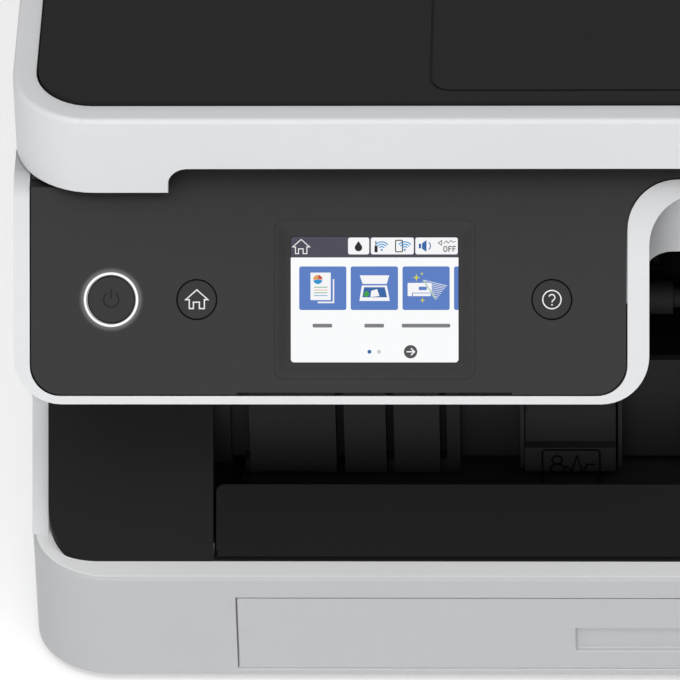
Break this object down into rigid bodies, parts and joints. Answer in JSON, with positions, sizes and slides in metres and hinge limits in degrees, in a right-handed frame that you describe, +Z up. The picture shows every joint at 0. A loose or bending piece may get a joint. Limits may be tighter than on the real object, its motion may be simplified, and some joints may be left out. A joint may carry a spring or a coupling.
{
  "type": "inkjet printer",
  "caption": "All-in-one inkjet printer with flatbed scanner, tilting touch panel, paper cassette, pull-out output tray and refillable ink tanks.",
  "frame": {"origin": "on the floor, under the middle of the printer's overall box", "axes": "+X to the printer's right as seen from the front, +Y to the back, +Z up"},
  "size_m": [0.375, 0.347, 0.2],
  "materials": {
    "white_shell": "fine matt moulding",
    "lid_black": "fine leather-like grain",
    "panel_black": "smooth satin",
    "cover_black": "matt",
    "inner_black": "matt",
    "grey_plastic": "matt",
    "white_plastic": "satin",
    "light_ring": "lit translucent",
    "screen": "lit display under clear cover",
    "glass": "clear float glass",
    "foam": "white foam pad",
    "steel": "plated",
    "motor_metal": "plated can",
    "rubber": "matt",
    "board_green": "solder mask",
    "tank_clear": "translucent chambers",
    "tube_clear": "translucent tubes",
    "cap_black": "glossy",
    "cap_cyan": "glossy",
    "cap_magenta": "glossy",
    "cap_yellow": "glossy"
  },
  "bodies": {
    "root": {"base_cover": "white_shell", "base_chassis": "inner_black", "feet": "rubber", "left_side_cover": "white_shell", "right_side_cover": "white_shell", "rear_panel": "white_shell", "front_fascia": "white_shell", "front_left_cover": "cover_black", "front_right_cover": "cover_black", "output_throat": "inner_black", "platen": "inner_black", "guide_rail": "steel", "encoder_strip": "steel", "ink_tubes": "tube_clear", "carriage_belt": "rubber", "carriage_motor": "motor_metal", "feed_motor": "motor_metal", "capping_station": "grey_plastic", "power_inlet": "cover_black", "usb_port": "steel", "main_board": "board_green", "power_supply": "grey_plastic", "ink_tank": "tank_clear"},
    "carriage": {"carriage": "inner_black", "print_head": "grey_plastic"},
    "drive_pulley": {"drive_pulley": "white_plastic"},
    "idler_pulley": {"idler_pulley": "white_plastic"},
    "feed_roller": {"feed_roller": "steel"},
    "middle_gear": {"middle_gear": "white_plastic"},
    "eject_roller": {"eject_roller": "rubber"},
    "pickup_arm": {"pickup_arm": "grey_plastic"},
    "pickup_roller": {"pickup_roller": "rubber"},
    "maintenance_box": {"maintenance_box": "cover_black"},
    "rear_cover": {"rear_cover": "white_shell"},
    "scanner": {"scanner_housing": "white_shell", "scanner_base": "inner_black", "scan_glass": "glass"},
    "scan_bar": {"scan_bar": "inner_black"},
    "lid": {"lid_shell": "lid_black", "lid_pad": "foam"},
    "panel": {"panel_face": "panel_black", "panel_back": "cover_black", "touch_screen": "screen", "power_ring": "light_ring"},
    "power_button": {"power_button": "panel_black"},
    "home_button": {"home_button": "panel_black"},
    "help_button": {"help_button": "panel_black"},
    "tank_cover": {"tank_cover": "white_shell"},
    "filler_cap_1": {"filler_cap_1": "cap_black"},
    "filler_cap_2": {"filler_cap_2": "cap_cyan"},
    "filler_cap_3": {"filler_cap_3": "cap_magenta"},
    "filler_cap_4": {"filler_cap_4": "cap_yellow"},
    "output_tray": {"output_tray": "cover_black"},
    "tray_extension": {"tray_extension": "cover_black"},
    "tray_stopper": {"tray_stopper": "cover_black"},
    "cassette": {"cassette_tray": "white_shell"},
    "edge_guide_left": {"edge_guide_left": "grey_plastic"},
    "edge_guide_right": {"edge_guide_right": "grey_plastic"},
    "end_guide": {"end_guide": "grey_plastic"},
    "guide_pinion": {"guide_pinion": "white_plastic"}
  },
  "joints": [
    {"name": "scanner_lift", "type": "hinge", "parent": "root", "child": "scanner", "pos_m": [0, 0.166, 0.1725], "axis": [-1, 0, 0], "range_deg": [0, 25]},
    {"name": "lid_hinge", "type": "hinge", "parent": "scanner", "child": "lid", "pos_m": [0, 0.1575, 0.191], "axis": [-1, 0, 0], "range_deg": [0, 80]},
    {"name": "scan_bar_slide", "type": "slide", "parent": "scanner", "child": "scan_bar", "axis": [1, 0, 0], "range_m": [0, 0.29]},
    {"name": "panel_tilt", "type": "hinge", "parent": "root", "child": "panel", "pos_m": [0, -0.13173, 0.16905], "axis": [-1, 0, 0], "range_deg": [0, 30]},
    {"name": "power_press", "type": "slide", "parent": "panel", "child": "power_button", "axis": [0, 0.788, -0.6157], "range_m": [0, 0.0008], "stiffness_N_per_m": 600, "springref_m": -0.0006},
    {"name": "home_press", "type": "slide", "parent": "panel", "child": "home_button", "axis": [0, 0.788, -0.6157], "range_m": [0, 0.0008], "stiffness_N_per_m": 600, "springref_m": -0.0006},
    {"name": "help_press", "type": "slide", "parent": "panel", "child": "help_button", "axis": [0, 0.788, -0.6157], "range_m": [0, 0.0008], "stiffness_N_per_m": 600, "springref_m": -0.0006},
    {"name": "tank_cover_hinge", "type": "hinge", "parent": "root", "child": "tank_cover", "pos_m": [0, -0.16862, 0.12427], "axis": [1, 0, 0], "range_deg": [0, 85]},
    {"name": "filler_cap_1_hinge", "type": "hinge", "parent": "root", "child": "filler_cap_1", "pos_m": [0.1395, -0.0785, 0.107], "axis": [-1, 0, 0], "range_deg": [0, 100]},
    {"name": "filler_cap_2_hinge", "type": "hinge", "parent": "root", "child": "filler_cap_2", "pos_m": [0.1511, -0.0785, 0.107], "axis": [-1, 0, 0], "range_deg": [0, 100]},
    {"name": "filler_cap_3_hinge", "type": "hinge", "parent": "root", "child": "filler_cap_3", "pos_m": [0.1627, -0.0785, 0.107], "axis": [-1, 0, 0], "range_deg": [0, 100]},
    {"name": "filler_cap_4_hinge", "type": "hinge", "parent": "root", "child": "filler_cap_4", "pos_m": [0.1743, -0.0785, 0.107], "axis": [-1, 0, 0], "range_deg": [0, 100]},
    {"name": "output_tray_slide", "type": "slide", "parent": "root", "child": "output_tray", "axis": [0, -1, 0], "range_m": [0, 0.1]},
    {"name": "tray_extension_slide", "type": "slide", "parent": "output_tray", "child": "tray_extension", "axis": [0, -1, 0], "range_m": [0, 0.09]},
    {"name": "front_flap_hinge", "type": "hinge", "parent": "tray_extension", "child": "tray_stopper", "pos_m": [0, -0.1471, 0.0431], "axis": [1, 0, 0], "range_deg": [0, 125]},
    {"name": "cassette_slide", "type": "slide", "parent": "root", "child": "cassette", "axis": [0, -1, 0], "range_m": [0, 0.28]},
    {"name": "edge_guide_left_slide", "type": "slide", "parent": "cassette", "child": "edge_guide_left", "axis": [1, 0, 0], "range_m": [0, 0.052]},
    {"name": "edge_guide_right_slide", "type": "slide", "parent": "cassette", "child": "edge_guide_right", "axis": [-1, 0, 0], "range_m": [0, 0.052]},
    {"name": "guide_pinion_spin", "type": "hinge", "parent": "cassette", "child": "guide_pinion", "pos_m": [0, -0.01, 0.0076], "axis": [0, 0, 1], "range_deg": [0, 376]},
    {"name": "end_guide_slide", "type": "slide", "parent": "cassette", "child": "end_guide", "axis": [0, -1, 0], "range_m": [0, 0.11]},
    {"name": "carriage_slide", "type": "slide", "parent": "root", "child": "carriage", "axis": [-1, 0, 0], "range_m": [0, 0.219]},
    {"name": "drive_pulley_spin", "type": "hinge", "parent": "root", "child": "drive_pulley", "pos_m": [-0.15, 0.004, 0.124], "axis": [0, 1, 0], "range_deg": [0, 2100]},
    {"name": "idler_pulley_spin", "type": "hinge", "parent": "root", "child": "idler_pulley", "pos_m": [0.118, 0.004, 0.124], "axis": [0, 1, 0], "range_deg": [0, 2100]},
    {"name": "feed_roller_spin", "type": "hinge", "parent": "root", "child": "feed_roller", "pos_m": [0, 0, 0.092], "axis": [1, 0, 0], "continuous": true},
    {"name": "middle_gear_spin", "type": "hinge", "parent": "root", "child": "middle_gear", "pos_m": [-0.136, -0.047, 0.092], "axis": [1, 0, 0], "continuous": true},
    {"name": "eject_roller_spin", "type": "hinge", "parent": "root", "child": "eject_roller", "pos_m": [0, -0.088, 0.092], "axis": [1, 0, 0], "continuous": true},
    {"name": "pickup_arm_swing", "type": "hinge", "parent": "root", "child": "pickup_arm", "pos_m": [0.06, 0.06, 0.068], "axis": [1, 0, 0], "range_deg": [-36, 0], "stiffness_Nm_per_rad": 0.3, "springref_deg": 20.05},
    {"name": "pickup_roller_spin", "type": "hinge", "parent": "pickup_arm", "child": "pickup_roller", "pos_m": [0.055, 0.1, 0.047], "axis": [1, 0, 0], "continuous": true},
    {"name": "maintenance_box_slide", "type": "slide", "parent": "root", "child": "maintenance_box", "axis": [0, 1, 0], "range_m": [0, 0.07]},
    {"name": "rear_cover_hinge", "type": "hinge", "parent": "root", "child": "rear_cover", "pos_m": [0, 0.1713, 0.0625], "axis": [-1, 0, 0], "range_deg": [0, 60]}
  ],
  "couplings": [
    {"joint": "edge_guide_right_slide", "follows": "edge_guide_left_slide", "ratio": 1},
    {"joint": "guide_pinion_spin", "follows": "edge_guide_left_slide", "rad_per_m": 125},
    {"joint": "drive_pulley_spin", "follows": "carriage_slide", "rad_per_m": 166.67},
    {"joint": "idler_pulley_spin", "follows": "carriage_slide", "rad_per_m": 166.67},
    {"joint": "middle_gear_spin", "follows": "feed_roller_spin", "ratio": -0.50645},
    {"joint": "eject_roller_spin", "follows": "feed_roller_spin", "ratio": 1.6186}
  ]
}
